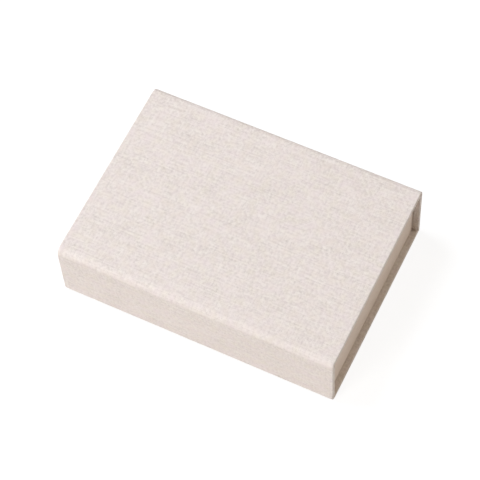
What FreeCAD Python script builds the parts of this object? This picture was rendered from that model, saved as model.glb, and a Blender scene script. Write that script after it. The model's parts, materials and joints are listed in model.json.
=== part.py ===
import FreeCAD, Part
import os

# A book-style photo storage box, closed, in millimetres.
# X runs along the spine, Y from the spine to the flap and Z up; the origin is the middle of the underside.

# Overall size of the closed case
case_length = 170.0
case_width = 122.0
case_height = 45.0

# Case panels: grey board wrapped in linen book cloth and lined with paper
board = 2.2
cloth = 0.4
turn_in = 12.0
edge_round = 0.35
lining = 0.3
lining_margin = 4.0

# Outside radius of the cloth where it turns from one panel to the next
spine_foot_radius = 3.5
spine_top_radius = 4.5
flap_joint_radius = 3.5

# Tray, glued to the bottom panel and the spine
end_square = 3.5
wall_board = 2.0
floor_board = 1.8
tray_paper = 0.2

# Clearances of the lid over the tray's rim, and of the flap off the tray and off the bottom panel
rim_clearance = 0.3
flap_clearance = 0.3
foot_clearance = 0.35

# Closing magnets, let into the flap and the tray's front wall under their paper
magnet_diameter = 10.0
magnet_thickness = 1.0
magnet_spacing = 90.0
magnet_height = 22.0
magnet_clearance = 0.1

# Outer planes of the case
half_length = case_length / 2
back = -case_width / 2
front = case_width / 2

# Depths under a panel's outer face: the board's inner face, the turned-in cloth's face, the lining's face
board_depth = cloth + board
turned_depth = board_depth + cloth
lined_depth = turned_depth + lining


def block(x_range, y_range, z_range):
    """A box between three pairs of coordinates."""
    corner = FreeCAD.Vector(x_range[0], y_range[0], z_range[0])
    size = [limits[1] - limits[0] for limits in (x_range, y_range, z_range)]
    return Part.makeBox(*size, corner)


class Panel:
    """A stiff panel of the case. Its run is along Y if it lies flat and along Z if it stands upright.

    outer is the coordinate of its outer face, inward the sign of the direction into the box, and
    start and end are the limits of its run. A hemmed end is a free edge that the cloth is folded over;
    at the other ends the cloth runs on round a joint.
    """

    def __init__(self, upright, outer, inward, start, end, hem_start=False, hem_end=False):
        self.upright = upright
        self.outer = outer
        self.inward = inward
        self.start = start
        self.end = end
        self.hem_start = hem_start
        self.hem_end = hem_end

    def block(self, half_width, run, near, far):
        """A box on this panel, between two depths under its outer face."""
        depths = sorted((self.outer + self.inward * near, self.outer + self.inward * far))
        y_range, z_range = (depths, run) if self.upright else (run, depths)
        return block((-half_width, half_width), y_range, z_range)

    def run(self, inset=0.0):
        """The run's limits, moved in by inset at the hemmed ends."""
        return self.start + inset * self.hem_start, self.end - inset * self.hem_end

    def free_edges(self, solid):
        """The edges of a box on this panel, apart from those that lie on a joint's plane."""
        joints = [at for at, hem in ((self.start, self.hem_start), (self.end, self.hem_end)) if not hem]
        kept = []
        for edge in solid.Edges:
            places = [v.Point.z if self.upright else v.Point.y for v in edge.Vertexes]
            if not any(all(abs(place - at) < 1e-6 for place in places) for at in joints):
                kept.append(edge)
        return kept


class Joint:
    """A quarter turn of cloth between two panels. Its centre is where the two boards' end planes meet."""

    def __init__(self, radius, side_y, side_z):
        self.radius = radius
        self.side_y = side_y
        self.side_z = side_z
        self.y = side_y * (case_width / 2 - radius)
        self.z = case_height - radius if side_z > 0 else radius

    def bar(self, half_width, radius):
        """A round bar about the joint's centre line."""
        end = FreeCAD.Vector(-half_width, self.y, self.z)
        return Part.makeCylinder(radius, 2 * half_width, end, FreeCAD.Vector(1, 0, 0))

    def quarter(self, half_width):
        """The box that holds the joint's quarter of such a bar."""
        y_range = sorted((self.y, self.y + self.side_y * self.radius))
        z_range = sorted((self.z, self.z + self.side_z * self.radius))
        return block((-half_width, half_width), y_range, z_range)

    def shell(self, half_width, outer, inner):
        """A quarter-round shell between two radii."""
        tube = self.bar(half_width, outer).cut(self.bar(half_width, inner))
        return tube.common(self.quarter(half_width))


bottom_panel = Panel(False, 0.0, 1, back + spine_foot_radius, front, hem_end=True)
spine_panel = Panel(True, back, 1, spine_foot_radius, case_height - spine_top_radius)
lid_panel = Panel(False, case_height, -1, back + spine_top_radius, front - flap_joint_radius)
flap_foot = turned_depth + foot_clearance
flap_panel = Panel(True, front, -1, flap_foot, case_height - flap_joint_radius, hem_start=True)

spine_foot = Joint(spine_foot_radius, -1, -1)
spine_top = Joint(spine_top_radius, -1, 1)
flap_joint = Joint(flap_joint_radius, 1, 1)


def panel_board(panel):
    """Grey board, short of the panel's free edges by the cloth that covers them."""
    return panel.block(half_length - cloth, panel.run(cloth), cloth, board_depth)


def panel_cloth(panel):
    """Linen over the outer face and the free edges, with its turn-ins on the inner face."""
    skin = panel.block(half_length, panel.run(), 0.0, turned_depth)
    skin = skin.makeFillet(min(edge_round, cloth), panel.free_edges(skin))
    window = panel.block(half_length - turn_in, panel.run(turn_in), board_depth, turned_depth)
    return skin.cut(panel_board(panel)).cut(window)


def panel_lining(panel):
    """Lining paper: it lies on the board and steps up over the turned-in cloth, short of the free edges."""
    sheet = panel.block(half_length - lining_margin, panel.run(lining_margin), turned_depth, lined_depth)
    well = panel.block(half_length - turn_in, panel.run(turn_in), board_depth, lined_depth)
    inset = turn_in + lining
    hollow = panel.block(half_length - inset, panel.run(inset), board_depth + lining, lined_depth)
    return sheet.fuse(well).cut(hollow).removeSplitter()


def joint_cloth(joint):
    """Linen round a joint, doubled at each end where it is folded in."""
    folded = joint.shell(half_length, joint.radius, joint.radius - 2 * cloth)
    rims = [e for e in folded.Edges if is_end_arc(e, joint)]
    folded = folded.makeFillet(min(edge_round, cloth), rims)
    single = joint.shell(half_length - turn_in, joint.radius - cloth, joint.radius - 2 * cloth)
    return folded.cut(single)


def is_end_arc(edge, joint):
    """Whether an edge is the outer arc at one end of a joint's cloth."""
    curve = edge.Curve
    return isinstance(curve, Part.Circle) and abs(curve.Radius - joint.radius) < 1e-6


def joint_lining(joint, flat_panel, upright_panel):
    """Lining paper inside a joint's cloth, carried over the two boards' edges."""
    outer = joint.radius - cloth
    over_fold = outer - cloth
    face = over_fold - lining
    sheet = joint.shell(half_length - lining_margin, over_fold, face)
    well = joint.shell(half_length - turn_in, outer, face)
    middle = half_length - turn_in - lining
    hollow = joint.shell(middle, outer - lining, face)
    arc = sheet.fuse(well).cut(hollow)
    room = joint.bar(middle, outer)
    flat_step = sorted((joint.y, joint.y + joint.side_y * lining))
    upright_step = sorted((joint.z, joint.z + joint.side_z * lining))
    flat_edge = flat_panel.block(middle, flat_step, cloth, board_depth + lining).common(room)
    upright_edge = upright_panel.block(middle, upright_step, cloth, board_depth + lining).common(room)
    return arc.fuse(flat_edge).fuse(upright_edge).removeSplitter()


# Tray planes: the outside of its paper, the boards inside it and the clear space inside the walls
tray_base = turned_depth
tray_rim = case_height - lined_depth - rim_clearance
tray_sides = half_length - end_square
tray_back = back + lined_depth
tray_front = front - lined_depth - flap_clearance
wall_depth = tray_paper + wall_board
lined_wall = wall_depth + tray_paper
floor_top = tray_base + floor_board


def tray_block(inset, z_range):
    """A box over the tray's outline, moved in by inset on all four sides."""
    return block((inset - tray_sides, tray_sides - inset), (tray_back + inset, tray_front - inset), z_range)


def tray_floor():
    """Floor board, between the four walls."""
    return tray_block(wall_depth, (tray_base, floor_top))


def tray_floor_paper():
    """Paper on the floor board, inside the walls' paper."""
    return tray_block(lined_wall, (floor_top, floor_top + tray_paper))


def wall_ring():
    """The four wall boards as one ring."""
    height = (tray_base, tray_rim - tray_paper)
    return tray_block(tray_paper, height).cut(tray_block(wall_depth, height))


def end_wall(side):
    """Wall board at one end of the tray, between the front and back walls. side is -1 for left, 1 for right."""
    x_range = sorted((side * (tray_sides - wall_depth), side * tray_sides))
    y_range = (tray_back + wall_depth, tray_front - wall_depth)
    return wall_ring().common(block(x_range, y_range, (tray_base, tray_rim)))


def long_wall(side):
    """Wall board along the back (-1) or the front (1) of the tray, over its whole length."""
    y_range = (tray_back, tray_back + wall_depth) if side < 0 else (tray_front - wall_depth, tray_front)
    return wall_ring().common(block((-tray_sides, tray_sides), y_range, (tray_base, tray_rim)))


def wall_papers():
    """Paper over the outside, rim and inside of each wall, mitred at the tray's corners."""
    height = (tray_base, tray_rim)
    wrap = tray_block(0.0, height).cut(tray_block(lined_wall, height))
    wrap = wrap.cut(wall_ring()).cut(tray_floor())
    x_out, y_back, y_front = tray_sides, tray_back, tray_front
    x_in, y_back_in, y_front_in = x_out - lined_wall, y_back + lined_wall, y_front - lined_wall
    outlines = {
        "tray_back_paper": [(-x_out, y_back), (x_out, y_back), (x_in, y_back_in), (-x_in, y_back_in)],
        "tray_right_paper": [(x_out, y_back), (x_out, y_front), (x_in, y_front_in), (x_in, y_back_in)],
        "tray_front_paper": [(x_out, y_front), (-x_out, y_front), (-x_in, y_front_in), (x_in, y_front_in)],
        "tray_left_paper": [(-x_out, y_front), (-x_out, y_back), (-x_in, y_back_in), (-x_in, y_front_in)],
    }
    return {name: wrap.common(mitred_prism(outline, height)) for name, outline in outlines.items()}


def mitred_prism(outline, height):
    """An upright prism on a four-sided outline."""
    points = [FreeCAD.Vector(x, y, height[0]) for x, y in outline]
    face = Part.Face(Part.makePolygon(points + points[:1]))
    return face.extrude(FreeCAD.Vector(0, 0, height[1] - height[0]))


def discs(start_y, thickness, radius):
    """A pair of discs with their axes along Y, at the magnets' places."""
    along_y = FreeCAD.Vector(0, 1, 0)
    pair = []
    for side in (-1, 1):
        centre = FreeCAD.Vector(side * magnet_spacing / 2, start_y, magnet_height)
        pair.append(Part.makeCylinder(radius, thickness, centre, along_y))
    return Part.makeCompound(pair)


# Magnets: each lies against the blind end of its pocket
magnet_radius = magnet_diameter / 2
pocket_radius = magnet_radius + magnet_clearance
pocket_depth = magnet_thickness + magnet_clearance
flap_board_inner = front - board_depth
wall_board_outer = tray_front - tray_paper

nodes = {
    "bottom_board": panel_board(bottom_panel),
    "bottom_cloth": panel_cloth(bottom_panel),
    "spine_foot_cloth": joint_cloth(spine_foot),
    "spine_board": panel_board(spine_panel),
    "spine_cloth": panel_cloth(spine_panel),
    "spine_lining": panel_lining(spine_panel),
    "spine_top_cloth": joint_cloth(spine_top),
    "spine_top_lining": joint_lining(spine_top, lid_panel, spine_panel),
    "lid_board": panel_board(lid_panel),
    "lid_cloth": panel_cloth(lid_panel),
    "lid_lining": panel_lining(lid_panel),
    "flap_joint_cloth": joint_cloth(flap_joint),
    "flap_joint_lining": joint_lining(flap_joint, lid_panel, flap_panel),
    "flap_board": panel_board(flap_panel).cut(discs(flap_board_inner, pocket_depth, pocket_radius)),
    "flap_cloth": panel_cloth(flap_panel),
    "flap_lining": panel_lining(flap_panel),
    "flap_magnets": discs(flap_board_inner + magnet_clearance, magnet_thickness, magnet_radius),
    "tray_floor": tray_floor(),
    "tray_floor_paper": tray_floor_paper(),
    "tray_back_wall": long_wall(-1),
    "tray_front_wall": long_wall(1).cut(discs(wall_board_outer - pocket_depth, pocket_depth, pocket_radius)),
    "tray_left_wall": end_wall(-1),
    "tray_right_wall": end_wall(1),
    "tray_magnets": discs(wall_board_outer - pocket_depth, magnet_thickness, magnet_radius),
}
nodes.update(wall_papers())

os.makedirs("parts", exist_ok=True)
for name, shape in nodes.items():
    shape.exportStep("parts/" + name + ".step")
    print(f"{name}: {len(shape.Solids)} solid, {shape.Volume:.1f} mm3, valid {shape.isValid()}")
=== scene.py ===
"""A linen-covered photo storage box: its cloth, papers, boards and magnets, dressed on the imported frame.

Everything is in metres. X runs along the spine, Y from the spine to the flap and Z up.
"""

import json
import logging
import math
from dataclasses import dataclass
from enum import Enum
from typing import Callable, Iterable, Optional, Union

import bmesh
import bpy
from mathutils import Matrix, Vector


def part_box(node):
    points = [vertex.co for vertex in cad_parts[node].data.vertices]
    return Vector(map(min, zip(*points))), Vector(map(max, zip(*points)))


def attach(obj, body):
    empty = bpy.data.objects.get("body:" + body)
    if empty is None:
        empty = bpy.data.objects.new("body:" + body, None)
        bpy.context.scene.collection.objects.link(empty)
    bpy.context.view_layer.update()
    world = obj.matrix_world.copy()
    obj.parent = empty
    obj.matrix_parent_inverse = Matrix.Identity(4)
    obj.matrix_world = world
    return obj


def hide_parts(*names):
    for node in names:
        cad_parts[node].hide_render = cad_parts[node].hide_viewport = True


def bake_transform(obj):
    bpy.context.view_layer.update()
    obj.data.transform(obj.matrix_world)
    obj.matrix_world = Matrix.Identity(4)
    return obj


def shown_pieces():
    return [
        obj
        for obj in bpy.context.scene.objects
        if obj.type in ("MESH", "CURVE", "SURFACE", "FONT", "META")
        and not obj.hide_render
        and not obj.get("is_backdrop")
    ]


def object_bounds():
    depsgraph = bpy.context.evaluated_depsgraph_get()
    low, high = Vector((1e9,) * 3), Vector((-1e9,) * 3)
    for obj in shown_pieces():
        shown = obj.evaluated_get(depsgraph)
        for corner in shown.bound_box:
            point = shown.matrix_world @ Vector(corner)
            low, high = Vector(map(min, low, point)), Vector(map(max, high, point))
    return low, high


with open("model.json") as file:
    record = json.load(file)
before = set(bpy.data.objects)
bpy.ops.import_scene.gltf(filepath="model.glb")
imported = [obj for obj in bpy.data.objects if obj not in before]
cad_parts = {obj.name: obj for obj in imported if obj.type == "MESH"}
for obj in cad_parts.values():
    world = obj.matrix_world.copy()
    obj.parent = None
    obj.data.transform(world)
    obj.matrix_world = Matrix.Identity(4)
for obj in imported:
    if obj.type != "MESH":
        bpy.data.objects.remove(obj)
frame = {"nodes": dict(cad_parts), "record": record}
cad_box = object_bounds()

log = logging.getLogger("photo_box")

MM = 0.001
QUARTER_TURN = math.pi / 2
FLAT_CLOTH = "flat_cloth"

# How close two places, or a place and a line, are to count as one, and the cosine for two directions
SAME_PLACE = 1e-7
ON_LINE = 1e-6
SAME_WAY = 0.999

Colour = tuple[float, float, float]
Place = tuple[float, float, float]
Turn = tuple[float, float, float]
Number = Union["Field", float]
Inputs = dict[Union[str, int], object]


class Body(Enum):
    """The moving bodies that a piece can ride on."""

    TRAY = "tray"
    LID = "lid"
    FLAP = "flap"


class Slot(Enum):
    """The record's material slots."""

    LINEN = "linen_cloth"
    BOARD = "grey_board"
    LINING = "lining_paper"
    TRAY = "tray_paper"
    MAGNET = "magnet_steel"


# Shader maths


class Field:
    """A number that varies over a surface. Python's operators on it add Math nodes."""

    def __init__(self, shader: "Shader", socket: bpy.types.NodeSocket) -> None:
        """Wraps one output socket of a shader."""
        self.shader = shader
        self.socket = socket

    def __add__(self, other: Number) -> "Field":
        """Sum."""
        return self.shader.math("ADD", self, other)

    __radd__ = __add__

    def __sub__(self, other: Number) -> "Field":
        """Difference."""
        return self.shader.math("SUBTRACT", self, other)

    def __rsub__(self, other: Number) -> "Field":
        """Difference from a number."""
        return self.shader.math("SUBTRACT", other, self)

    def __mul__(self, other: Number) -> "Field":
        """Product."""
        return self.shader.math("MULTIPLY", self, other)

    __rmul__ = __mul__

    def __truediv__(self, other: Number) -> "Field":
        """Quotient."""
        return self.shader.math("DIVIDE", self, other)

    def floor(self) -> "Field":
        """The whole number below."""
        return self.shader.math("FLOOR", self)

    def fraction(self) -> "Field":
        """What is left above the whole number below."""
        return self.shader.math("FRACT", self)

    def cosine(self) -> "Field":
        """Cosine of the value in radians."""
        return self.shader.math("COSINE", self)

    def at_least(self, other: Number) -> "Field":
        """The larger of the two."""
        return self.shader.math("MAXIMUM", self, other)

    def at_most(self, other: Number) -> "Field":
        """The smaller of the two."""
        return self.shader.math("MINIMUM", self, other)

    def squared(self) -> "Field":
        """The value times itself."""
        return self * self

    def clamped(self) -> "Field":
        """The value kept from 0 to 1."""
        return self.at_least(0.0).at_most(1.0)


class Shader:
    """A node tree under construction, of a material or of the world.

    The MIX numbers are the sockets of a Mix node that mixes colours.
    """

    NOISE_MEAN = 0.5
    MIX_SHARE = 0
    MIX_FIRST = 6
    MIX_SECOND = 7
    MIX_RESULT = 2

    def __init__(self, owner: Union[bpy.types.Material, bpy.types.World], output: str) -> None:
        """Clears the owner's nodes and adds its output node.

        Args:
            owner: The material or world to build.
            output: The type of its output node.
        """
        owner.use_nodes = True
        self.tree = owner.node_tree
        self.tree.nodes.clear()
        self.output = self.tree.nodes.new(output)

    def node(self, kind: str, settings: dict[str, object], sockets: Inputs) -> bpy.types.Node:
        """Adds a node.

        Args:
            kind: The node's type.
            settings: Its own settings, made first.
            sockets: Values, Fields or sockets for its inputs, by name or number.

        Returns:
            The new node.
        """
        made = self.tree.nodes.new(kind)
        for name, value in settings.items():
            setattr(made, name, value)
        for key, value in sockets.items():
            target = made.inputs[key]
            if isinstance(value, Field):
                value = value.socket
            if isinstance(value, bpy.types.NodeSocket):
                self.tree.links.new(value, target)
            else:
                target.default_value = value
        return made

    def math(self, operation: str, *values: Number) -> Field:
        """Adds a Math node on numbers and Fields, and returns its result."""
        made = self.node("ShaderNodeMath", {"operation": operation}, dict(enumerate(values)))
        return Field(self, made.outputs[0])

    def parts(self, vector: bpy.types.NodeSocket) -> tuple[Field, Field, Field]:
        """A vector's three numbers."""
        made = self.node("ShaderNodeSeparateXYZ", {}, {0: vector})
        return tuple(Field(self, socket) for socket in made.outputs)

    def vector(self, x: Number, y: Number, z: Number = 0.0) -> bpy.types.NodeSocket:
        """A vector of three numbers or Fields."""
        return self.node("ShaderNodeCombineXYZ", {}, {0: x, 1: y, 2: z}).outputs[0]

    def noise(
        self, vector: bpy.types.NodeSocket, scale: float, detail: float = 0.0, flat: bool = False
    ) -> Field:
        """Smooth noise about a mean of zero, mostly within -0.3 and 0.3.

        Args:
            vector: Where it is read.
            scale: Spots per unit of length.
            detail: How many finer layers are added.
            flat: Whether it varies with two coordinates only.

        Returns:
            The noise.
        """
        settings = {"noise_dimensions": "2D" if flat else "3D"}
        made = self.node("ShaderNodeTexNoise", settings, {"Vector": vector, "Scale": scale, "Detail": detail})
        return Field(self, made.outputs[0]) - self.NOISE_MEAN

    def speckle(self, vector: bpy.types.NodeSocket) -> Field:
        """A random number from -0.5 to 0.5 for each different place."""
        made = self.node("ShaderNodeTexWhiteNoise", {"noise_dimensions": "2D"}, {"Vector": vector})
        return Field(self, made.outputs["Value"]) - self.NOISE_MEAN

    def blend(self, share: Number, first: object, second: object) -> bpy.types.NodeSocket:
        """Mixes two colours.

        Args:
            share: The second colour's share, from 0 to 1.
            first: A Colour or a socket.
            second: A Colour or a socket.

        Returns:
            The mixed colour.
        """
        settings = {"data_type": "RGBA", "clamp_factor": True}
        colours = [(*c, 1.0) if isinstance(c, tuple) else c for c in (first, second)]
        sockets = {self.MIX_SHARE: share, self.MIX_FIRST: colours[0], self.MIX_SECOND: colours[1]}
        return self.node("ShaderNodeMix", settings, sockets).outputs[self.MIX_RESULT]

    def bump(self, height: Field, strength: float, distance: float) -> bpy.types.NodeSocket:
        """A normal from a height."""
        sockets = {"Height": height, "Strength": strength, "Distance": distance}
        return self.node("ShaderNodeBump", {}, sockets).outputs[0]


def surface(name: str, dress: Callable[[Shader], Inputs]) -> bpy.types.Material:
    """Makes a material on the Principled shader.

    Args:
        name: The material's name.
        dress: Builds the nodes and returns the Principled shader's inputs.

    Returns:
        The material.
    """
    material = bpy.data.materials.new(name)
    shader = Shader(material, "ShaderNodeOutputMaterial")
    made = shader.node("ShaderNodeBsdfPrincipled", {}, dress(shader))
    shader.tree.links.new(made.outputs[0], shader.output.inputs[0])
    return material


# Finishes


@dataclass(frozen=True)
class LinenFinish:
    """Plain-woven linen book cloth, matt, with uneven threads in both directions.

    The tone runs from 0, deep, to 1, pale. An amount is how far a pattern moves it, a height is how far the
    pattern lifts the surface, and an offset keeps a pattern away from its like. The weave's own share of the
    tone is painted shade: it follows the weave's height, so the low places between the threads are darker.
    """

    pale: Colour = (0.93, 0.864, 0.802)
    deep: Colour = (0.58, 0.503, 0.457)
    rosy: Colour = (0.845, 0.717, 0.722)
    straw: Colour = (0.86, 0.775, 0.62)
    roughness: float = 0.86
    shine: float = 0.25
    fuzz: float = 0.12
    fuzz_roughness: float = 0.5

    thread: float = 0.5 * MM
    slub_length: float = 20.0 * MM
    nub_length: float = 7.0 * MM
    slub_width: float = 0.75 * MM
    grain: float = 1.7 * MM
    stain: float = 5.0 * MM
    cloud: float = 15.0 * MM
    fibre_length: float = 0.9 * MM
    fibre_width: float = 0.09 * MM
    wander: float = 0.9 * MM
    wander_per_metre: float = 28.0
    roundness: float = 0.45
    crossing_sharpness: float = 4.0

    nub_offset: float = 7.0
    cloud_offset: float = 5.0
    rosy_offset: float = 2.0
    straw_offset: float = 9.0

    ground_tone: float = 0.73
    thread_amount: float = 0.12
    grain_amount: float = 0.98
    cloud_amount: float = 0.28
    # Painted shade between the threads, following the weave's height
    weave_gap_shade: float = 0.22
    fibre_amount: float = 0.4
    slub_amount: float = 0.9
    slub_loss_upright: float = 0.57
    nub_amount: float = 0.2
    nub_gain_upright: float = 0.47

    rosy_share: float = 0.16
    rosy_in_clouds: float = 0.4
    rosy_in_stains: float = 0.45
    straw_share: float = 0.06
    straw_in_stains: float = 0.40

    weave_height: float = 0.9
    yarn_height: float = 0.8
    slub_height: float = 0.25
    fibre_height: float = 0.25
    bump: float = 0.55
    relief: float = 0.16 * MM

    def material(self) -> bpy.types.Material:
        """The linen, laid out on the cloth as it was cut, before it was wrapped round the boards."""
        return surface(Slot.LINEN.value, self._dress)

    def _dress(self, shader: Shader) -> Inputs:
        """Weaves threads, slubs and fibres, paints shade into the gaps between the threads, and mottles the
        whole.

        Args:
            shader: The material's nodes.

        Returns:
            The Principled shader's inputs.
        """
        place = shader.node("ShaderNodeUVMap", {"uv_map": FLAT_CLOTH}, {}).outputs[0]
        x, y, _ = shader.parts(place)
        x = x + self.wander * shader.noise(place, self.wander_per_metre, detail=2.0, flat=True)
        crossed = shader.vector(y, x)
        y = y + self.wander * shader.noise(crossed, self.wander_per_metre, detail=2.0, flat=True)
        across, along = x / self.thread, y / self.thread
        weave, over = self._weave(across, along)

        slubs, nubs = self._uneven_threads(shader, x, y, across.floor(), along.floor())
        yarn = slubs * (self.slub_amount - self.slub_loss_upright * over)
        yarn = yarn + nubs * (self.nub_amount + self.nub_gain_upright * over)
        fibres = self._fibres(shader, x, y, over)
        crossings = shader.speckle(shader.vector(across.floor(), along.floor()))
        grain = shader.noise(shader.vector(x, y), 1.0 / self.grain, detail=2.0, flat=True)
        cloud_place = shader.vector(x + self.cloud_offset, y)
        clouds = shader.noise(cloud_place, 1.0 / self.cloud, detail=3.0, flat=True)

        tone = self.ground_tone + self.thread_amount * crossings + self.grain_amount * grain + yarn
        # Painted shade: the weave's height also darkens the tone in the low places between the threads.
        tone = tone + self.cloud_amount * clouds + self.weave_gap_shade * weave + self.fibre_amount * fibres
        height = self.weave_height * weave + self.yarn_height * yarn
        height = height + self.slub_height * slubs + self.fibre_height * fibres
        return {
            "Base Color": self._tinted(shader, x, y, tone, clouds),
            "Roughness": self.roughness,
            "Specular IOR Level": self.shine,
            "Sheen Weight": self.fuzz,
            "Sheen Roughness": self.fuzz_roughness,
            "Normal": shader.bump(height, self.bump, self.relief),
        }

    def _weave(self, across: Field, along: Field) -> tuple[Field, Field]:
        """Height of a plain weave of round threads, and where the upright threads lie on top.

        Args:
            across: Place across the upright threads, in threads.
            along: Place along them, in threads.

        Returns:
            The height, about zero, and 1 where an upright thread lies on top, else 0.
        """
        upright = 0.5 * ((along + across.floor() - 0.5) * math.pi).cosine()
        level = -0.5 * ((across + along.floor() - 0.5) * math.pi).cosine()
        upright = upright - self.roundness * (2.0 * across.fraction() - 1.0).squared()
        level = level - self.roundness * (2.0 * along.fraction() - 1.0).squared()
        over = (0.5 + self.crossing_sharpness * (upright - level)).clamped()
        return upright.at_least(level), over

    def _uneven_threads(
        self, shader: Shader, x: Field, y: Field, upright: Field, level: Field
    ) -> tuple[Field, Field]:
        """Thick and thin places of the threads.

        Args:
            shader: The material's nodes.
            x: Place along the level threads.
            y: Place along the upright threads.
            upright: Number of the upright thread.
            level: Number of the level thread.

        Returns:
            The slubs of the level threads and the nubs of the upright ones, about zero.
        """
        packed = self.thread / self.slub_width
        slubs = shader.noise(shader.vector(x / self.slub_length, packed * level), 1.0, detail=1.0, flat=True)
        nub_place = shader.vector(packed * upright + self.nub_offset, y / self.nub_length)
        return slubs, shader.noise(nub_place, 1.0, detail=1.0, flat=True)

    def _fibres(self, shader: Shader, x: Field, y: Field, over: Field) -> Field:
        """Fine fibres along whichever thread is on top.

        Args:
            shader: The material's nodes.
            x: Place along the level threads.
            y: Place along the upright threads.
            over: 1 where an upright thread lies on top, else 0.

        Returns:
            The fibres, about zero.
        """
        level_place = shader.vector(x / self.fibre_length, y / self.fibre_width)
        upright_place = shader.vector(x / self.fibre_width, y / self.fibre_length)
        level = shader.noise(level_place, 1.0, detail=1.0, flat=True)
        upright = shader.noise(upright_place, 1.0, detail=1.0, flat=True)
        return level + over * (upright - level)

    def _tinted(
        self, shader: Shader, x: Field, y: Field, tone: Field, clouds: Field
    ) -> bpy.types.NodeSocket:
        """The cloth's colour, with rosy and straw-coloured stains.

        Args:
            shader: The material's nodes.
            x: Place across the cloth.
            y: Place along the cloth.
            tone: From 0, deep, to 1, pale.
            clouds: Wide soft patches, about zero.

        Returns:
            The colour.
        """
        warm = shader.noise(shader.vector(x, y + self.rosy_offset), 1.0 / self.stain, flat=True)
        cool = shader.noise(shader.vector(x + self.straw_offset, y), 1.0 / self.stain, flat=True)
        rosy = self.rosy_share + self.rosy_in_clouds * clouds + self.rosy_in_stains * warm
        straw = self.straw_share + self.straw_in_stains * cool
        colour = shader.blend(tone.clamped(), self.deep, self.pale)
        colour = shader.blend(rosy.clamped(), colour, self.rosy)
        return shader.blend(straw.clamped(), colour, self.straw)


@dataclass(frozen=True)
class PaperFinish:
    """Smooth uncoated paper with short fibres."""

    slot: Slot
    colour: Colour
    fibre: Colour
    roughness: float = 0.78
    shine: float = 0.3
    clouds_per_metre: float = 160.0
    fibres_per_metre: float = 1900.0
    tooth_per_metre: float = 2600.0
    fibre_slant: float = 0.4
    fibre_stretch: float = 0.35
    fibre_share: float = 0.22
    cloud_amount: float = 0.55
    fibre_amount: float = 0.75
    cloud_height: float = 0.6
    bump: float = 0.25
    relief: float = 0.05 * MM

    def material(self) -> bpy.types.Material:
        """The paper."""
        return surface(self.slot.value, self._dress)

    def _dress(self, shader: Shader) -> Inputs:
        """Adds fibres, faint clouds and a fine tooth.

        Args:
            shader: The material's nodes.

        Returns:
            The Principled shader's inputs.
        """
        place = shader.node("ShaderNodeTexCoord", {}, {}).outputs["Object"]
        x, y, z = shader.parts(place)
        slanted = shader.vector(x + self.fibre_slant * y, self.fibre_stretch * y, z)
        clouds = shader.noise(place, self.clouds_per_metre, detail=2.0)
        fibres = shader.noise(slanted, self.fibres_per_metre, detail=2.0)
        tooth = shader.noise(place, self.tooth_per_metre, detail=1.0)
        share = self.fibre_share + self.cloud_amount * clouds + self.fibre_amount * fibres
        return {
            "Base Color": shader.blend(share.clamped(), self.colour, self.fibre),
            "Roughness": self.roughness,
            "Specular IOR Level": self.shine,
            "Normal": shader.bump(tooth + self.cloud_height * clouds, self.bump, self.relief),
        }


@dataclass(frozen=True)
class BoardFinish:
    """Raw grey board, pressed from mixed fibres."""

    colour: Colour = (0.27, 0.25, 0.225)
    fleck: Colour = (0.42, 0.40, 0.37)
    roughness: float = 0.9
    shine: float = 0.2
    flecks_per_metre: float = 900.0
    clouds_per_metre: float = 110.0
    fleck_share: float = 0.4
    fleck_amount: float = 1.1
    cloud_amount: float = 0.5
    bump: float = 0.4
    relief: float = 0.1 * MM

    def material(self) -> bpy.types.Material:
        """The grey board."""
        return surface(Slot.BOARD.value, self._dress)

    def _dress(self, shader: Shader) -> Inputs:
        """Adds flecks and faint clouds.

        Args:
            shader: The material's nodes.

        Returns:
            The Principled shader's inputs.
        """
        place = shader.node("ShaderNodeTexCoord", {}, {}).outputs["Object"]
        flecks = shader.noise(place, self.flecks_per_metre, detail=4.0)
        clouds = shader.noise(place, self.clouds_per_metre, detail=2.0)
        share = self.fleck_share + self.fleck_amount * flecks + self.cloud_amount * clouds
        return {
            "Base Color": shader.blend(share.clamped(), self.colour, self.fleck),
            "Roughness": self.roughness,
            "Specular IOR Level": self.shine,
            "Normal": shader.bump(flecks, self.bump, self.relief),
        }


@dataclass(frozen=True)
class NickelFinish:
    """Nickel plating on a magnet, with a fine grain."""

    colour: Colour = (0.62, 0.60, 0.57)
    dull: Colour = (0.45, 0.44, 0.42)
    roughness: float = 0.28
    spots_per_metre: float = 700.0
    grain_per_metre: float = 5200.0
    dull_share: float = 0.3
    rough_spots: float = 0.5
    bump: float = 0.15
    relief: float = 0.02 * MM

    def material(self) -> bpy.types.Material:
        """The plating."""
        return surface(Slot.MAGNET.value, self._dress)

    def _dress(self, shader: Shader) -> Inputs:
        """Adds faint dull spots and a fine grain.

        Args:
            shader: The material's nodes.

        Returns:
            The Principled shader's inputs.
        """
        place = shader.node("ShaderNodeTexCoord", {}, {}).outputs["Object"]
        spots = shader.noise(place, self.spots_per_metre, detail=3.0)
        grain = shader.noise(place, self.grain_per_metre, detail=1.0)
        return {
            "Base Color": shader.blend((self.dull_share + spots).clamped(), self.colour, self.dull),
            "Metallic": 1.0,
            "Roughness": (self.roughness + self.rough_spots * spots).clamped(),
            "Normal": shader.bump(grain, self.bump, self.relief),
        }


MATERIALS = {
    Slot.LINEN: LinenFinish().material(),
    Slot.LINING: PaperFinish(Slot.LINING, colour=(0.755, 0.65, 0.555), fibre=(0.81, 0.715, 0.625)).material(),
    Slot.TRAY: PaperFinish(Slot.TRAY, colour=(0.78, 0.656, 0.565), fibre=(0.83, 0.72, 0.632)).material(),
    Slot.BOARD: BoardFinish().material(),
    Slot.MAGNET: NickelFinish().material(),
}


# Where things lie


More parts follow.
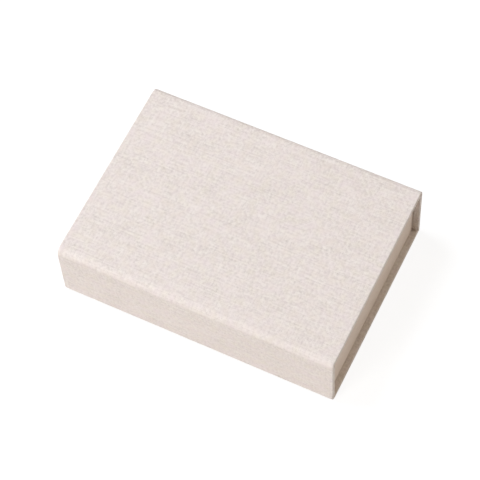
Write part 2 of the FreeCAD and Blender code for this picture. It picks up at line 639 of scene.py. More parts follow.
@dataclass(frozen=True)
class CaseSizes:
    """Sizes of the case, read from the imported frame, and of its cloth and paper.

    panel is a panel's thickness with its cloth, turn_in how far the cloth is turned in over a board's edge,
    and edge the radius of the cloth round that edge.
    """

    half_length: float
    back: float
    front: float
    height: float
    foot_radius: float
    top_radius: float
    flap_radius: float
    flap_foot: float
    panel: float
    lining_margin: float
    cloth: float = 0.4 * MM
    turn_in: float = 12.0 * MM
    lining: float = 0.3 * MM
    edge: float = 0.6 * MM

    @classmethod
    def measured(cls) -> "CaseSizes":
        """Reads the sizes from the frame's boxes.

        Returns:
            The sizes.
        """
        low, high = cad_box
        joints = ("spine_foot_cloth", "spine_top_cloth", "flap_joint_cloth")
        foot, top, flap = (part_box(name) for name in joints)
        return cls(
            half_length=high.x,
            back=low.y,
            front=high.y,
            height=high.z,
            foot_radius=foot[1].z - foot[0].z,
            top_radius=top[1].z - top[0].z,
            flap_radius=flap[1].z - flap[0].z,
            flap_foot=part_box("flap_cloth")[0].z,
            panel=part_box("bottom_cloth")[1].z,
            lining_margin=high.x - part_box("lid_lining")[1].x,
        )


@dataclass(frozen=True)
class Course:
    """A stretch of the wrap.

    Its own coordinates are x, the run along the wrap and the height above its outer face. origin, run and out
    are given as (y, z). flat_start is the run's start on the uncut cloth, and radius is set where the course
    turns a quarter round a joint.
    """

    origin: tuple[float, float]
    run: tuple[float, float]
    out: tuple[float, float]
    length: float
    flat_start: float
    radius: Optional[float] = None
    hem_start: bool = False
    hem_end: bool = False

    def matrix(self) -> Matrix:
        """From the course's coordinates to the frame's.

        Returns:
            The matrix.
        """
        columns = (Vector((1, 0, 0)), Vector((0, *self.run)), Vector((0, *self.out)))
        turned = Matrix(columns).transposed().to_4x4()
        return Matrix.Translation((0, *self.origin)) @ turned

    def unroll(self, place: Vector) -> tuple[float, float, float]:
        """Lays a place flat.

        Args:
            place: A place in the course's coordinates.

        Returns:
            Its x, its run and its height on the cloth laid flat.
        """
        if self.radius is None:
            return place.x, place.y, place.z
        out = place.z + self.radius
        return place.x, self.radius * math.atan2(place.y, out), math.hypot(place.y, out) - self.radius

    def end(self) -> Vector:
        """Where the course ends on its outer face, in the frame."""
        own = Vector((0, self.length, 0)) if self.radius is None else Vector((0, self.radius, -self.radius))
        return self.matrix() @ own

    def start(self) -> Vector:
        """Where the course starts on its outer face, in the frame."""
        return self.matrix() @ Vector((0, 0, 0))

    def from_hem(self, run: float) -> float:
        """How far a place on the run is from the hem."""
        return run if self.hem_start else self.length - run


class Wrap:
    """The seven courses of the case, from the bottom panel's front edge round to the flap's foot."""

    def __init__(self, sizes: CaseSizes) -> None:
        """Lays the courses out, one after the other.

        Args:
            sizes: The case's sizes.
        """
        bottom = sizes.front - sizes.back - sizes.foot_radius
        spine = sizes.height - sizes.foot_radius - sizes.top_radius
        lid = sizes.front - sizes.back - sizes.top_radius - sizes.flap_radius
        flap = sizes.height - sizes.flap_radius - sizes.flap_foot
        foot_turn, top_turn, flap_turn = (
            QUARTER_TURN * radius for radius in (sizes.foot_radius, sizes.top_radius, sizes.flap_radius)
        )
        foot_y, top_z = sizes.back + sizes.foot_radius, sizes.height - sizes.top_radius
        flap_y, flap_z = sizes.front - sizes.flap_radius, sizes.height - sizes.flap_radius
        top_y = sizes.back + sizes.top_radius
        at = 0.0
        self.bottom = Course((sizes.front, 0.0), (-1, 0), (0, -1), bottom, at, hem_start=True)
        at += bottom
        self.foot = Course((foot_y, 0.0), (-1, 0), (0, -1), foot_turn, at, sizes.foot_radius)
        at += foot_turn
        self.spine = Course((sizes.back, sizes.foot_radius), (0, 1), (-1, 0), spine, at)
        at += spine
        self.top = Course((sizes.back, top_z), (0, 1), (-1, 0), top_turn, at, sizes.top_radius)
        at += top_turn
        self.lid = Course((top_y, sizes.height), (1, 0), (0, 1), lid, at)
        at += lid
        self.flap_joint = Course((flap_y, sizes.height), (1, 0), (0, 1), flap_turn, at, sizes.flap_radius)
        at += flap_turn
        self.flap = Course((sizes.front, flap_z), (0, -1), (1, 0), flap, at, hem_end=True)


# Mesh making


class Blank:
    """A mesh being shaped, in the coordinates of its course or of the frame.

    BEYOND is how far a blank runs on past a joint before it is cut.
    """

    BEYOND = 30.0 * MM
    DISC_SIDES = 48

    def __init__(self) -> None:
        """Starts empty."""
        self.mesh = bmesh.new()

    def block(self, low: Vector, high: Vector) -> list[bmesh.types.BMVert]:
        """Adds a box.

        Args:
            low: Its lowest corner.
            high: Its highest corner.

        Returns:
            Its eight corners.
        """
        made = bmesh.ops.create_cube(self.mesh, size=1.0)["verts"]
        bmesh.ops.scale(self.mesh, vec=high - low, verts=made)
        bmesh.ops.translate(self.mesh, vec=(low + high) / 2, verts=made)
        return made

    def sheet(self, low: Vector, high: Vector, facing_up: bool) -> bmesh.types.BMFace:
        """Adds one flat rectangle at low's height.

        Args:
            low: Its lowest corner.
            high: Its highest corner in x and y.
            facing_up: Whether its front is up, along +z.

        Returns:
            The face.
        """
        made = bmesh.ops.create_grid(self.mesh, x_segments=1, y_segments=1, size=0.5)["verts"]
        bmesh.ops.scale(self.mesh, vec=(high.x - low.x, high.y - low.y, 1.0), verts=made)
        bmesh.ops.translate(self.mesh, vec=((low.x + high.x) / 2, (low.y + high.y) / 2, low.z), verts=made)
        face = made[0].link_faces[0]
        if (face.normal.z > 0) != facing_up:
            face.normal_flip()
        return face

    def bevel(self, edges: Iterable[bmesh.types.BMEdge], offset: float, segments: int) -> None:
        """Rounds edges."""
        bmesh.ops.bevel(
            self.mesh,
            geom=list(edges),
            offset=offset,
            segments=segments,
            profile=0.5,
            affect="EDGES",
            material=-1,
            clamp_overlap=True,
        )

    def face_towards(self, direction: Vector) -> bmesh.types.BMFace:
        """Finds the largest face whose front looks in a direction.

        Args:
            direction: The direction, of length 1.

        Returns:
            The face.
        """
        self.mesh.normal_update()
        looking = [face for face in self.mesh.faces if face.normal.dot(direction) > SAME_WAY]
        return max(looking, key=lambda face: face.calc_area())

    def inset(self, face: bmesh.types.BMFace, width: float, lift: float = 0.0) -> list[bmesh.types.BMEdge]:
        """Insets a face, lifts its middle along its normal, and returns the middle's edges."""
        bmesh.ops.inset_region(
            self.mesh, faces=[face], thickness=width, depth=lift, use_boundary=True, use_even_offset=True
        )
        return list(face.edges)

    def remove(self, faces: Iterable[bmesh.types.BMFace]) -> None:
        """Deletes faces, with the edges and corners that only they have."""
        bmesh.ops.delete(self.mesh, geom=list(faces), context="FACES")

    def _bisect(self, place: Vector, normal: Vector, drop_outer: bool) -> list[object]:
        """Divides the mesh with a plane.

        Args:
            place: A place on the plane.
            normal: The plane's normal.
            drop_outer: Whether the side that the normal points to is deleted.

        Returns:
            The corners and edges that lie on the plane.
        """
        return bmesh.ops.bisect_plane(
            self.mesh,
            geom=self.mesh.verts[:] + self.mesh.edges[:] + self.mesh.faces[:],
            dist=SAME_PLACE,
            plane_co=place,
            plane_no=normal,
            clear_outer=drop_outer,
        )["geom_cut"]

    def cut(self, place: Vector, normal: Vector) -> None:
        """Cuts the mesh with a plane and drops what is on the side that the normal points to."""
        self._bisect(place, normal, drop_outer=True)

    def keep_section(self) -> None:
        """Keeps only the outline where the mesh crosses the start of the run."""
        crossed = self._bisect(Vector((0, 0, 0)), Vector((0, 1, 0)), drop_outer=False)
        outline = set(only(bmesh.types.BMEdge, crossed))
        dropped = [edge for edge in self.mesh.edges if edge not in outline]
        bmesh.ops.delete(self.mesh, geom=dropped, context="EDGES")

    def rim_at(self, run: float, below: float = math.inf) -> list[bmesh.types.BMEdge]:
        """Finds the open edges at one place on the run.

        Args:
            run: The place on the run.
            below: Only edges under this height are taken.

        Returns:
            The edges.
        """
        return [
            edge
            for edge in self.mesh.edges
            if edge.is_boundary and all(abs(v.co.y - run) < ON_LINE and v.co.z < below for v in edge.verts)
        ]

    def extend(self, edges: list[bmesh.types.BMEdge]) -> list[object]:
        """Grows faces of no width from edges, and returns their new corners, edges and faces."""
        return bmesh.ops.extrude_edge_only(self.mesh, edges=edges)["geom"]

    def turn(self, radius: float, steps: int, outwards: bool) -> None:
        """Sweeps the outline a quarter turn about the course's centre line.

        Args:
            radius: The joint's outer radius.
            steps: Number of faces along the turn.
            outwards: Whether the faces look away from the centre line.
        """
        outline = self.mesh.verts[:] + self.mesh.edges[:]
        bmesh.ops.spin(
            self.mesh,
            geom=outline,
            cent=(0, 0, -radius),
            axis=(1, 0, 0),
            dvec=(0, 0, 0),
            angle=-QUARTER_TURN,
            steps=steps,
            use_merge=False,
            use_duplicate=False,
        )
        bmesh.ops.recalc_face_normals(self.mesh, faces=self.mesh.faces[:])
        self.mesh.normal_update()
        middle = min(self.mesh.faces, key=lambda face: abs(face.calc_center_median().x))
        centre = middle.calc_center_median()
        away = Vector((0, centre.y, centre.z + radius))
        if (middle.normal.dot(away) > 0) != outwards:
            bmesh.ops.reverse_faces(self.mesh, faces=self.mesh.faces[:])

    def disc(self, centre: Vector, facing: Vector, radius: float) -> bmesh.types.BMFace:
        """Adds a flat disc.

        Args:
            centre: Its centre.
            facing: Where its front looks.
            radius: Its radius.

        Returns:
            Its face.
        """
        turned = facing.to_track_quat("Z", "Y").to_matrix().to_4x4()
        placed = Matrix.Translation(centre) @ turned
        made = bmesh.ops.create_circle(
            self.mesh, cap_ends=True, segments=self.DISC_SIDES, radius=radius, matrix=placed
        )["verts"]
        face = made[0].link_faces[0]
        self.mesh.normal_update()
        if face.normal.dot(facing) < 0:
            face.normal_flip()
        return face

    def take(self, other: "Blank") -> None:
        """Adds another blank's mesh to this one and ends the other.

        Args:
            other: The other blank.
        """
        spare = bpy.data.meshes.new("spare")
        other.mesh.to_mesh(spare)
        other.mesh.free()
        self.mesh.from_mesh(spare)
        bpy.data.meshes.remove(spare)

    def thicken(self, thickness: float) -> None:
        """Gives the sheet its thickness, behind its faces.

        Args:
            thickness: The thickness.
        """
        self.mesh.normal_update()
        bmesh.ops.solidify(self.mesh, geom=self.mesh.faces[:], thickness=thickness)
        self.mesh.normal_update()

    def lay_out(self, place_on_cloth: Callable[[Vector, Vector], tuple[float, float]]) -> None:
        """Writes where each face lies on the uncut cloth.

        Args:
            place_on_cloth: Gives the place on the cloth from a corner's place and its face's centre.
        """
        layer = self.mesh.loops.layers.uv.new(FLAT_CLOTH)
        for face in self.mesh.faces:
            centre = face.calc_center_median()
            for loop in face.loops:
                loop[layer].uv = place_on_cloth(loop.vert.co, centre)

    def finish(
        self, name: str, matrix: Matrix, material: bpy.types.Material, sharp: float = 40.0
    ) -> bpy.types.Object:
        """Makes the object.

        Args:
            name: The piece's name.
            matrix: From the mesh's coordinates to the frame's.
            material: What it is dressed in.
            sharp: Edges that turn by more than this many degrees stay sharp.

        Returns:
            The object, at the origin, with its place in its mesh.
        """
        self.mesh.transform(matrix)
        data = bpy.data.meshes.new(name)
        self.mesh.to_mesh(data)
        self.mesh.free()
        data.shade_smooth()
        data.set_sharp_from_angle(angle=math.radians(sharp))
        data.materials.append(material)
        made = bpy.data.objects.new(name, data)
        bpy.context.scene.collection.objects.link(made)
        even = made.modifiers.new("even_faces", "WEIGHTED_NORMAL")
        even.keep_sharp = True
        return made


def only(kind: type, items: Iterable[object]) -> list[object]:
    """The items of one kind."""
    return [item for item in items if isinstance(item, kind)]


# The linen


@dataclass(frozen=True)
class CornerFold:
    """Sizes of the doubled cloth at a hemmed corner. rounding is a share of the thickness."""

    reach: float
    thickness: float
    sunk: float = 0.05 * MM
    rounding: float = 0.4
    segments: int = 3


@dataclass
class LinenCase:
    """The linen of the case: a piece over each panel and one round each joint.

    outer_skin is the depth down to which a face belongs to the cloth's outside. cap_height is where the cloth
    over a board's end stops, as a share of the cloth's thickness. roll_rounding is a share of the roll's
    depth, and joint_cloth a share of the cloth's thickness, which keeps the joints just clear of the boards.
    """

    sizes: CaseSizes
    wrap: Wrap
    bottom_fold: CornerFold = CornerFold(reach=3.2 * MM, thickness=0.25 * MM)
    flap_fold: CornerFold = CornerFold(reach=3.9 * MM, thickness=0.5 * MM)
    edge_segments: int = 4
    outer_skin: float = 0.1 * MM
    end_clearance: float = 0.1 * MM
    cap_inset: float = 0.3 * MM
    cap_height: float = 0.9
    roll_depth: float = 1.7 * MM
    roll_reach: float = 3.2 * MM
    roll_rounding: float = 0.49
    roll_segments: int = 6
    joint_cloth: float = 0.95
    turn_steps: int = 28

    def build(self) -> None:
        """Makes all seven pieces."""
        self._panel("bottom_linen", self.wrap.bottom, Body.TRAY, "bottom_cloth")
        self._joint("spine_foot_linen", self.wrap.foot, "spine_foot_cloth", Body.TRAY)
        self._panel("spine_linen", self.wrap.spine, Body.TRAY, "spine_cloth")
        self._joint("spine_top_linen", self.wrap.top, "spine_top_cloth", Body.TRAY, Body.LID)
        self._panel("lid_linen", self.wrap.lid, Body.LID, "lid_cloth")
        self._joint("flap_joint_linen", self.wrap.flap_joint, "flap_joint_cloth", Body.LID, Body.FLAP)
        self._panel("flap_linen", self.wrap.flap, Body.FLAP, "flap_cloth")

    def _skin(self, course: Course, depth: float, rounding: float, turn_in: float, segments: int) -> Blank:
        """Cloth round a slab, turned in at both ends and at a hem, with a window in its inner face.

        Args:
            course: The course it lies on.
            depth: The slab's thickness with its cloth.
            rounding: Radius of the cloth round an edge.
            turn_in: How far the cloth is turned in.
            segments: Faces round an edge.

        Returns:
            The skin, which runs on past each joint.
        """
        half = self.sizes.half_length
        start = 0.0 if course.hem_start else -Blank.BEYOND
        end = course.length if course.hem_end else course.length + Blank.BEYOND
        blank = Blank()
        blank.block(Vector((-half, start, -depth)), Vector((half, end, 0.0)))
        blank.bevel(blank.mesh.edges, rounding, segments)
        window = blank.face_towards(Vector((0, 0, -1)))
        blank.inset(window, turn_in - rounding)
        blank.remove([window])
        return blank

    def _panel(self, name: str, course: Course, body: Body, node: str) -> None:
        """Makes the cloth of a panel.

        Args:
            name: The piece's name.
            course: The panel's course.
            body: What it rides on.
            node: The node that it replaces.
        """
        sizes = self.sizes
        blank = self._skin(course, sizes.panel, sizes.edge, sizes.turn_in, self.edge_segments)
        if not course.hem_start:
            blank.cut(Vector((0, 0, 0)), Vector((0, -1, 0)))
            self._close_board_end(blank, 0.0, -1.0)
        if not course.hem_end:
            blank.cut(Vector((0, course.length, 0)), Vector((0, 1, 0)))
            self._close_board_end(blank, course.length, 1.0)
        blank.thicken(sizes.cloth)
        for side in (-1, 1):
            if course.hem_start:
                self._corner_fold(blank, side, 0.0, 1.0, self.bottom_fold)
            if course.hem_end:
                self._corner_fold(blank, side, course.length, -1.0, self.flap_fold)
        blank.lay_out(lambda place, centre: self._on_cloth(course, place, centre))
        made = blank.finish(name, course.matrix(), MATERIALS[Slot.LINEN])
        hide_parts(node)
        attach(made, body.value)

    def _close_board_end(self, blank: Blank, run: float, outward: float) -> None:
        """Carries the turned-in cloth over the board's end at a joint.

        Args:
            blank: The panel's cloth.
            run: Where the board ends.
            outward: The sign of the run away from the board.
        """
        made = blank.extend(blank.rim_at(run, below=-self.sizes.panel / 2))
        inside = self.sizes.half_length - self.cap_inset
        far_edge = only(bmesh.types.BMVert, made)
        for vertex in far_edge:
            vertex.co.x = max(-inside, min(inside, vertex.co.x))
            vertex.co.y += outward * self.end_clearance
            vertex.co.z = -self.cap_height * self.sizes.cloth
        bmesh.ops.remove_doubles(blank.mesh, verts=far_edge, dist=SAME_PLACE)
        caps = [face for face in only(bmesh.types.BMFace, made) if face.is_valid]
        blank.mesh.normal_update()
        wrong = [face for face in caps if face.normal.y * outward < 0]
        bmesh.ops.reverse_faces(blank.mesh, faces=wrong)

    def _corner_fold(self, blank: Blank, side: int, hem: float, inward: float, fold: CornerFold) -> None:
        """Adds the tucked corner of a hem: doubled cloth with its free edge on the mitre.

        Args:
            blank: The panel's cloth.
            side: -1 at the left end, 1 at the right.
            hem: Where the hemmed edge is on the run.
            inward: The sign of the run away from the hem.
            fold: The fold's sizes.
        """
        sizes = self.sizes
        corner = Vector((side * (sizes.half_length - sizes.edge), hem + inward * sizes.edge, -sizes.panel))
        far = corner + Vector((-side * fold.reach, inward * fold.reach, -fold.thickness))
        lows, highs = zip(*(sorted(pair) for pair in zip(corner, far)))
        tuck = Blank()
        tuck.block(Vector(lows), Vector(highs) + Vector((0, 0, fold.sunk)))
        tuck.cut(corner, Vector((side, inward, 0)))
        open_edges = [edge for edge in tuck.mesh.edges if edge.is_boundary]
        bmesh.ops.holes_fill(tuck.mesh, edges=open_edges)
        bmesh.ops.recalc_face_normals(tuck.mesh, faces=tuck.mesh.faces[:])
        tuck.bevel(tuck.mesh.edges[:], fold.rounding * fold.thickness, fold.segments)
        blank.take(tuck)

    def _joint(
        self, name: str, course: Course, node: str, first: Body, second: Optional[Body] = None
    ) -> None:
        """Makes the cloth round a joint, rolled in at each end.

        Args:
            name: The piece's name.
            course: The joint's course.
            node: The node that it replaces.
            first: What it rides on, when there is no second body.
            second: If given, the piece stays where it is made and rides on neither body.
        """
        rounding = self.roll_rounding * self.roll_depth
        blank = self._skin(course, self.roll_depth, rounding, self.roll_reach, self.roll_segments)
        blank.keep_section()
        blank.turn(course.radius, self.turn_steps, outwards=True)
        blank.thicken(self.joint_cloth * self.sizes.cloth)
        blank.lay_out(lambda place, centre: self._on_cloth(course, place, centre))
        made = blank.finish(name, course.matrix(), MATERIALS[Slot.LINEN])
        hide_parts(node)
        if second is None:
            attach(made, first.value)
        else:
            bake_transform(made)

    def _on_cloth(self, course: Course, place: Vector, centre: Vector) -> tuple[float, float]:
        """Where a corner of a face lies on the uncut cloth.

        Args:
            course: The course that the face is on.
            place: The corner, in the course's coordinates.
            centre: The middle of its face.

        Returns:
            The place along the spine and along the wrap.
        """
        half, depth = self.sizes.half_length, self.sizes.panel
        x, run, height = course.unroll(place)
        x_mid, run_mid, height_mid = course.unroll(centre)
        below = -height
        from_end = half - abs(x_mid)
        from_hem = course.from_hem(run_mid) if course.hem_start or course.hem_end else half
        turned_in = -height_mid > depth / 2
        if from_hem < from_end and -height_mid > self.outer_skin:
            inwards = course.from_hem(run)
            wrapped = below + (max(inwards, 0.0) if turned_in else -inwards)
            if course.hem_start:
                return x, course.flat_start - wrapped
            return x, course.flat_start + course.length + wrapped
        beyond = below + ((half - abs(x)) if turned_in else (abs(x) - half))
        return math.copysign(half + beyond, x), course.flat_start + run


# The lining papers


@dataclass
class Lining:
    """The paper inside the spine, the lid and the flap, and in the two hinge joints between them.

    ramp is the width of the step down from the turned-in cloth. sheet is a share of the paper's thickness,
    which keeps it just clear of the cloth. over_edge_depth and joint_depth say how many layers of cloth lie
    outside the paper's end and outside the paper of a joint.
    """

    sizes: CaseSizes
    wrap: Wrap
    ramp: float = 1.4 * MM
    ramp_rounding: float = 0.35 * MM
    ramp_segments: int = 2
    edge_rounding: float = 0.3 * MM
    edge_segments: int = 3
    over_edge_depth: float = 2.0
    joint_depth: float = 2.0
    sheet: float = 0.9
    sharp: float = 60.0
    turn_steps: int = 20

    def build(self) -> None:
        """Makes the five papers."""
        self._panel("spine_lining_sheet", self.wrap.spine, Body.TRAY, "spine_lining", joint_start=False)
        self._joint("spine_top_lining_sheet", self.wrap.top, "spine_top_lining", Body.TRAY, Body.LID)
        self._panel("lid_lining_sheet", self.wrap.lid, Body.LID, "lid_lining")
        self._joint("flap_joint_lining_sheet", self.wrap.flap_joint, "flap_joint_lining", Body.LID, Body.FLAP)
        self._panel("flap_lining_sheet", self.wrap.flap, Body.FLAP, "flap_lining")

    def _sheet(self, course: Course, over_fold: float) -> Blank:
        """A sheet that lies over the turned-in cloth and steps down to what is inside it.

        Args:
            course: The course it lies on.
            over_fold: Depth of the paper's face over the turned-in cloth.

        Returns:
            The sheet, which runs on past each joint.
        """
        sizes = self.sizes
        margin = sizes.lining_margin
        half = sizes.half_length - margin
        start = margin if course.hem_start else -Blank.BEYOND
        end = course.length - margin if course.hem_end else course.length + Blank.BEYOND
        low, high = Vector((-half, start, -over_fold)), Vector((half, end, -over_fold))
        blank = Blank()
        face = blank.sheet(low, high, facing_up=False)
        upper = blank.inset(face, sizes.turn_in - margin - self.ramp / 2)
        lower = blank.inset(face, self.ramp, -sizes.cloth)
        blank.bevel(set(upper) | set(lower), self.ramp_rounding, self.ramp_segments)
        return blank

    def _panel(
        self, name: str, course: Course, body: Body, node: str, joint_start: bool = True
    ) -> None:
        """Makes the paper of a panel, carried over the board's edge at each hinge joint.

        Args:
            name: The piece's name.
            course: The panel's course.
            body: What it rides on.
            node: The node that it replaces.
            joint_start: Whether the paper goes over the board's edge at the start of the run.
        """
        sizes = self.sizes
        blank = self._sheet(course, sizes.panel + sizes.lining)
        over = sizes.lining
        if not course.hem_start:
            at = -over if joint_start else 0.0
            blank.cut(Vector((0, at, 0)), Vector((0, -1, 0)))
            if joint_start:
                self._over_edge(blank, at)
        if not course.hem_end:
            at = course.length + over
            blank.cut(Vector((0, at, 0)), Vector((0, 1, 0)))
            self._over_edge(blank, at)
        blank.thicken(self.sheet * sizes.lining)
        made = blank.finish(name, course.matrix(), MATERIALS[Slot.LINING], self.sharp)
        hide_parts(node)
        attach(made, body.value)

    def _over_edge(self, blank: Blank, run: float) -> None:
        """Carries the paper's edge over the board's end, round a small turn.

        Args:
            blank: The paper.
            run: Where its edge is.
        """
        rim = blank.rim_at(run)
        for vertex in only(bmesh.types.BMVert, blank.extend(rim)):
            vertex.co.z = -self.over_edge_depth * self.sizes.cloth
        blank.bevel(rim, self.edge_rounding, self.edge_segments)

    def _joint(self, name: str, course: Course, node: str, first: Body, second: Body) -> None:
        """Makes the paper in a hinge joint.

        Args:
            name: The piece's name.
            course: The joint's course.
            node: The node that it replaces.
            first: Not used.
            second: Not used.
        """
        sizes = self.sizes
        blank = self._sheet(course, self.joint_depth * sizes.cloth + sizes.lining)
        blank.keep_section()
        blank.turn(course.radius, self.turn_steps, outwards=False)
        blank.thicken(self.sheet * sizes.lining)
        made = blank.finish(name, course.matrix(), MATERIALS[Slot.LINING], self.sharp)
        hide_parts(node)
        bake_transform(made)


# The tray


@dataclass
class Tray:
    """The tray's paper wrap, over its wall boards.

    foot_spare is what the wrap has too much at its foot before it is cut, and foot_gap how far above the
    tray's underside it ends.
    """

    edge: float = 0.35 * MM
    edge_segments: int = 3
    paper: float = 0.2 * MM
    wall: float = 2.4 * MM
    foot_spare: float = 5.0 * MM
    foot_gap: float = 0.3 * MM

    def build(self) -> None:
        """Makes the wrap over the outside, the rim and the inside of the four walls."""
        nodes = [f"tray_{side}_paper" for side in ("back", "right", "front", "left")]
        boxes = [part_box(name) for name in nodes]
        low = Vector([min(box[0][i] for box in boxes) for i in range(3)])
        high = Vector([max(box[1][i] for box in boxes) for i in range(3)])
        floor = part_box("tray_floor_paper")[0].z
        blank = Blank()
        blank.block(low - Vector((0, 0, self.foot_spare)), high)
        blank.bevel(blank.mesh.edges, self.edge, self.edge_segments)
        rim = blank.face_towards(Vector((0, 0, 1)))
        inner = blank.inset(rim, self.wall - self.edge)
        well = bmesh.ops.extrude_face_region(blank.mesh, geom=[rim])["geom"]
        sunk = only(bmesh.types.BMVert, well)
        bmesh.ops.translate(blank.mesh, vec=(0, 0, floor - high.z), verts=sunk)
        blank.remove(only(bmesh.types.BMFace, well))
        if rim.is_valid:
            blank.remove([rim])
        blank.bevel([edge for edge in inner if edge.is_valid], self.edge, self.edge_segments)
        blank.cut(Vector((0, 0, low.z + self.foot_gap)), Vector((0, 0, -1)))
        blank.thicken(self.paper)
        made = blank.finish("tray_wrap", Matrix.Identity(4), MATERIALS[Slot.TRAY])
        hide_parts(*nodes)
        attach(made, Body.TRAY.value)


@dataclass
class MagnetMarks:
    """The faint round rises of the papers over the hidden magnets.

    over is the width of each sloping ring, and sunk is how deep a mark's back lies in the paper. crown is how
    far its middle stands above its ring, as a share of the rise.
    """

    over: float = 0.8 * MM
    rise: float = 0.03 * MM
    sunk: float = 0.02 * MM
    crown: float = 0.3
    sharp: float = 60.0

    def build(self) -> None:
        """Marks the flap's lining and the tray's front."""
        flap_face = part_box("flap_lining")[0].y
        tray_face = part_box("tray_front_paper")[1].y
        self._pair("flap_magnet_marks", "flap_magnets", flap_face, Vector((0, -1, 0)), Slot.LINING, Body.FLAP)
        self._pair("tray_magnet_marks", "tray_magnets", tray_face, Vector((0, 1, 0)), Slot.TRAY, Body.TRAY)

    def _pair(
        self, name: str, node: str, face_y: float, facing: Vector, slot: Slot, body: Body
    ) -> None:
        """Makes the two rises over a pair of magnets.

        Args:
            name: The piece's name.
            node: The magnets' node.
            face_y: Where the paper's face is.
            facing: Where the paper looks.
            slot: The paper's slot.
            body: What it rides on.
        """
        low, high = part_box(node)
        radius, height = (high.z - low.z) / 2, (high.z + low.z) / 2
        blank = Blank()
        for x in (low.x + radius, high.x - radius):
            centre = Vector((x, face_y, height)) - facing * self.sunk
            blank.disc(centre, -facing, radius + self.over)
            face = blank.disc(centre, facing, radius + self.over)
            blank.inset(face, self.over, self.rise + self.sunk)
            blank.inset(face, self.over, self.crown * self.rise)
        bmesh.ops.remove_doubles(blank.mesh, verts=blank.mesh.verts[:], dist=SAME_PLACE)
        made = blank.finish(name, Matrix.Identity(4), MATERIALS[slot], self.sharp)
        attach(made, body.value)


def dress_frame() -> None:
    """Gives each node that is carried over from the frame the material of its slot."""
    slots = {part["node"]: Slot(part["material_slot"]) for part in frame["record"]["subparts"]}
    for name, node in frame["nodes"].items():
        node.data.materials.clear()
        node.data.materials.append(MATERIALS[slots[name]])
        log.info("node %s wears %s", name, slots[name].value)


# The studio


@dataclass(frozen=True)
class Lamp:
    """A round soft lamp that shines on the box. Its power is in watts."""

    name: str
    place: Place
    size: float
    power: float
    colour: Colour

    def build(self) -> None:
        """Hangs the lamp."""
        data = bpy.data.lights.new(self.name, "AREA")
        data.shape = "DISK"
        data.size = self.size
        data.energy = self.power
        data.color = self.colour
        lamp = bpy.data.objects.new(self.name, data)
        lamp.location = self.place
        lamp.rotation_euler = (-Vector(self.place)).to_track_quat("-Z", "Y").to_euler()
        lamp.visible_camera = False
        bpy.context.scene.collection.objects.link(lamp)


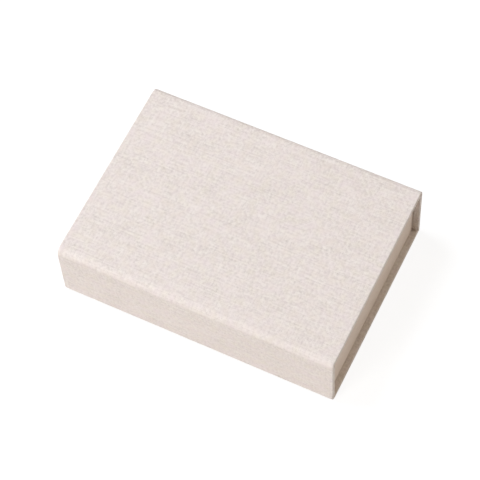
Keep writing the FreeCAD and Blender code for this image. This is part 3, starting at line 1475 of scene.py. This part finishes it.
@dataclass(frozen=True)
class Studio:
    """A white table in soft light, and the camera.

    camera_turn is in degrees and camera_lens in millimetres. The camera sees the table's glow and shade, and
    the table's bounce lights the box.
    """

    camera_place: Place = (0.2681, -0.4694, 0.9773)
    camera_turn: Turn = (29.45, 2.20, 25.96)
    camera_lens: float = 143.90
    sky: Colour = (1.0, 0.80, 0.60)
    sky_strength: float = 0.20
    lamps: tuple[Lamp, ...] = (
        Lamp("front_lamp", place=(-0.889, -2.441, 1.5), size=1.2, power=42.2, colour=(0.982, 0.982, 0.990)),
        Lamp("left_lamp", place=(-1.721, 0.0, 2.457), size=1.6, power=66.3, colour=(0.828, 0.893, 1.0)),
        Lamp("far_lamp", place=(2.186, 1.834, 0.927), size=1.2, power=19.0, colour=(1.0, 1.0, 0.94)),
    )
    table_side: float = 6.0
    table_below: float = 0.15 * MM
    table_glow: float = 0.88
    table_shade: float = 0.22
    table_bounce: float = 0.80

    def build(self) -> None:
        """Sets the table, the light and the camera."""
        self._table()
        self._world()
        for lamp in self.lamps:
            lamp.build()
        self._camera()
        bpy.context.scene.view_settings.view_transform = "Standard"

    def _seen(self, shader: Shader) -> Field:
        """Tells what the camera sees from what only lights the box.

        Args:
            shader: The table's or the sky's nodes.

        Returns:
            1 for what the camera sees, straight or in a mirror or glass, else 0.
        """
        paths = shader.node("ShaderNodeLightPath", {}, {}).outputs
        camera, glossy, through = (
            Field(shader, paths[name]) for name in ("Is Camera Ray", "Is Glossy Ray", "Is Transmission Ray")
        )
        return camera.at_least(glossy).at_least(through)

    def _table(self) -> None:
        """A white table that keeps a faint shadow."""
        blank = bmesh.new()
        bmesh.ops.create_grid(blank, x_segments=2, y_segments=2, size=self.table_side / 2)
        bmesh.ops.translate(blank, vec=(0, 0, -self.table_below), verts=blank.verts[:])
        data = bpy.data.meshes.new("table")
        blank.to_mesh(data)
        blank.free()
        material = bpy.data.materials.new("table_white")
        shader = Shader(material, "ShaderNodeOutputMaterial")
        bounce = shader.node("ShaderNodeBsdfDiffuse", {}, {"Color": grey(self.table_bounce)}).outputs[0]
        shade = shader.node("ShaderNodeBsdfDiffuse", {}, {"Color": grey(self.table_shade)}).outputs[0]
        glow_inputs = {"Color": grey(1.0), "Strength": self.table_glow}
        glow = shader.node("ShaderNodeEmission", {}, glow_inputs).outputs[0]
        shown = shader.node("ShaderNodeAddShader", {}, {0: shade, 1: glow}).outputs[0]
        mixed = shader.node("ShaderNodeMixShader", {}, {0: self._seen(shader), 1: bounce, 2: shown})
        shader.tree.links.new(mixed.outputs[0], shader.output.inputs[0])
        data.materials.append(material)
        made = bpy.data.objects.new("table", data)
        bpy.context.scene.collection.objects.link(made)
        made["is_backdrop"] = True

    def _world(self) -> None:
        """An even sky, white where the camera sees it."""
        world = bpy.data.worlds.new("studio")
        bpy.context.scene.world = world
        shader = Shader(world, "ShaderNodeOutputWorld")
        sky_inputs = {"Color": (*self.sky, 1.0), "Strength": self.sky_strength}
        sky = shader.node("ShaderNodeBackground", {}, sky_inputs).outputs[0]
        white = shader.node("ShaderNodeBackground", {}, {"Color": grey(1.0), "Strength": 1.0}).outputs[0]
        mixed = shader.node("ShaderNodeMixShader", {}, {0: self._seen(shader), 1: sky, 2: white})
        shader.tree.links.new(mixed.outputs[0], shader.output.inputs[0])

    def _camera(self) -> None:
        """The camera, as it stood for the photograph."""
        data = bpy.data.cameras.new("camera")
        data.lens = self.camera_lens
        camera = bpy.data.objects.new("camera", data)
        camera.location = self.camera_place
        camera.rotation_euler = [math.radians(angle) for angle in self.camera_turn]
        bpy.context.scene.collection.objects.link(camera)
        bpy.context.scene.camera = camera


def grey(level: float) -> tuple[float, float, float, float]:
    """An even grey for a colour socket."""
    return level, level, level, 1.0


def main() -> None:
    """Builds the studio and the box."""
    logging.basicConfig(level=logging.INFO, format="%(name)s: %(message)s")
    Studio().build()
    sizes = CaseSizes.measured()
    wrap = Wrap(sizes)
    dress_frame()
    LinenCase(sizes, wrap).build()
    Lining(sizes, wrap).build()
    Tray().build()
    MagnetMarks().build()
    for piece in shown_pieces():
        log.info("piece %s: %d faces", piece.name, len(piece.data.polygons))


if __name__ == "__main__":
    main()
